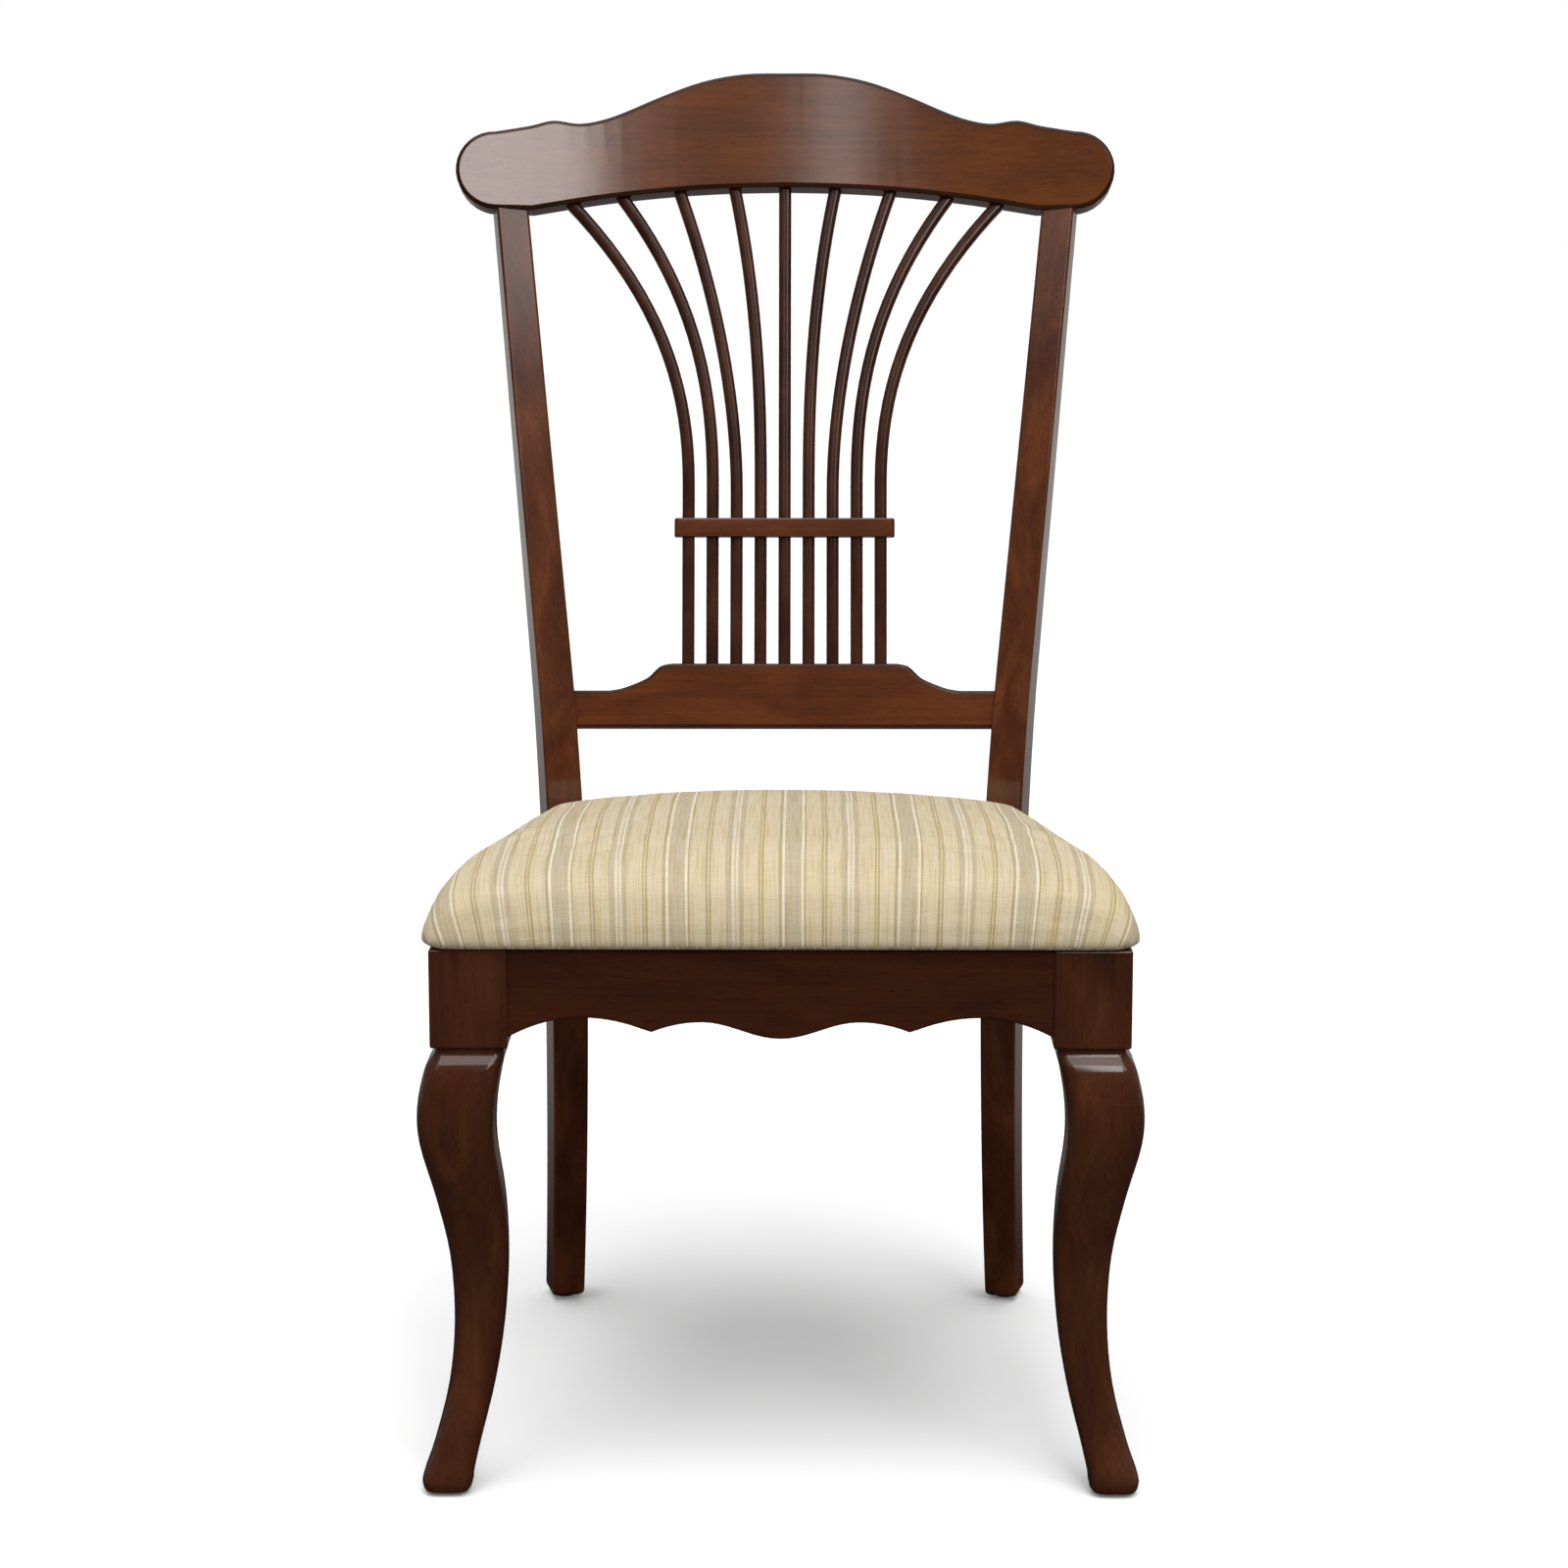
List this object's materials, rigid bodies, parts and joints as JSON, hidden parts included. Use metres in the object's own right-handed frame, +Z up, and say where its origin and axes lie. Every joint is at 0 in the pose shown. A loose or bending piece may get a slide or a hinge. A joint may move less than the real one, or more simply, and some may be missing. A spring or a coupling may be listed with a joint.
{
  "type": "dining chair",
  "caption": "Wooden dining chair: slats tied in a sheaf under a shaped crest rail, cabriole front legs, a scalloped front rail and an upholstered seat in striped fabric.",
  "frame": {"origin": "on the floor under the middle of the chair's width and depth", "axes": "+Z up, front of the seat towards -Y, the sitter's left hand side towards +X"},
  "size_m": [0.5598, 0.6028, 1.0653],
  "materials": {
    "stained_wood": "dark red-brown stain under satin lacquer",
    "raw_wood": "bare beech and birch plywood",
    "striped_fabric": "woven cream and gold stripe with taupe bands",
    "seat_foam": "soft upholstery foam",
    "black_lining": "thin black lining cloth",
    "zinc_steel": "zinc-plated steel"
  },
  "bodies": {
    "root": {"rear_post_left": "stained_wood", "rear_post_right": "stained_wood", "front_leg_left": "stained_wood", "front_leg_right": "stained_wood", "side_rail_left": "stained_wood", "side_rail_right": "stained_wood", "corner_block_front_left": "raw_wood", "corner_block_front_right": "raw_wood", "corner_block_rear_left": "raw_wood", "corner_block_rear_right": "raw_wood", "glide_front_left": "zinc_steel", "glide_front_right": "zinc_steel", "glide_rear_left": "zinc_steel", "glide_rear_right": "zinc_steel", "slat_1": "stained_wood", "slat_2": "stained_wood", "slat_3": "stained_wood", "slat_4": "stained_wood", "slat_5": "stained_wood", "slat_6": "stained_wood", "slat_7": "stained_wood", "slat_8": "stained_wood", "slat_9": "stained_wood", "crest_rail": "stained_wood", "lower_back_rail": "stained_wood", "sheaf_band": "stained_wood", "front_rail": "stained_wood", "back_rail": "stained_wood", "crest_dowels": "raw_wood", "rail_screws": "zinc_steel", "seat_screws": "zinc_steel", "seat_board": "raw_wood", "seat_foam": "seat_foam", "seat_cover": "striped_fabric", "dust_cover": "black_lining"}
  },
  "joints": []
}
